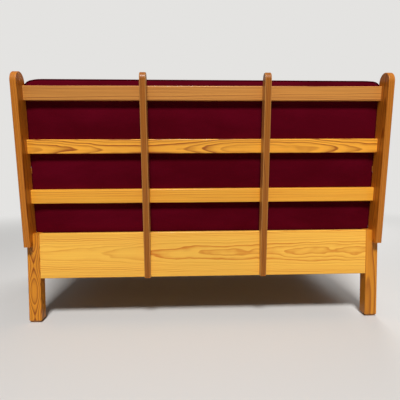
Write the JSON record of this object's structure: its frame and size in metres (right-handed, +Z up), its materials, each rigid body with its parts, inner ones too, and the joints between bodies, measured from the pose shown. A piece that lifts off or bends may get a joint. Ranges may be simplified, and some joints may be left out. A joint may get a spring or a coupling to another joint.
{
  "type": "pull-out bench bed",
  "caption": "Pine bench with raked slatted back, shaped arms and velvet cushions; its slatted seat pulls out on its own legs and the folded mattress opens over it as a bed.",
  "frame": {"origin": "on the floor, at the middle of the bench's box with the bed pushed in", "axes": "+X along the bench to the right of someone in front of it, +Y towards the back, +Z up"},
  "size_m": [1.34, 1.039, 0.892],
  "materials": {
    "back_pine": "clear satin lacquer, aged amber",
    "leg_pine": "clear satin lacquer, aged amber",
    "apron_pine": "clear satin lacquer, lighter heartwood",
    "slat_pine": "planed, unfinished",
    "stained_pine": "darker red-brown lacquer",
    "velvet": "wine-red short-pile velvet",
    "glide_plastic": "brown"
  },
  "bodies": {
    "root": {"rear_leg_left": "leg_pine", "rear_leg_right": "leg_pine", "back_post_left": "back_pine", "back_post_right": "back_pine", "middle_post_left": "stained_pine", "middle_post_right": "stained_pine", "top_rail": "back_pine", "middle_rail": "back_pine", "lower_rail": "back_pine", "rear_apron": "apron_pine", "side_rail_left": "apron_pine", "side_rail_right": "apron_pine", "arm_leg_left": "leg_pine", "arm_leg_right": "leg_pine", "armrest_left": "back_pine", "armrest_right": "back_pine", "rear_slat_ledger": "slat_pine", "front_cross_bar": "slat_pine", "slide_ledger_left": "slat_pine", "slide_ledger_right": "slat_pine", "fixed_slat_1": "slat_pine", "fixed_slat_2": "slat_pine", "fixed_slat_3": "slat_pine", "fixed_slat_4": "slat_pine", "fixed_slat_5": "slat_pine", "seat_mattress_lower": "velvet", "back_cushion": "velvet"},
    "pull_out_frame": {"pull_out_front_rail": "apron_pine", "pull_out_slat_ledger": "slat_pine", "pull_out_leg_left": "leg_pine", "pull_out_leg_right": "leg_pine", "moving_slat_1": "slat_pine", "moving_slat_2": "slat_pine", "moving_slat_3": "slat_pine", "moving_slat_4": "slat_pine", "moving_slat_5": "slat_pine", "moving_slat_6": "slat_pine", "stop_bar": "slat_pine", "pull_out_glides": "glide_plastic"},
    "mattress_leaf": {"seat_mattress_leaf": "velvet"}
  },
  "joints": [
    {"name": "pull_out", "type": "slide", "parent": "root", "child": "pull_out_frame", "axis": [0, -1, 0], "range_m": [0, 0.76]},
    {"name": "mattress_fold", "type": "hinge", "parent": "root", "child": "mattress_leaf", "pos_m": [0, -0.48254, 0.36475], "axis": [1, 0, 0], "range_deg": [0, 180]}
  ]
}
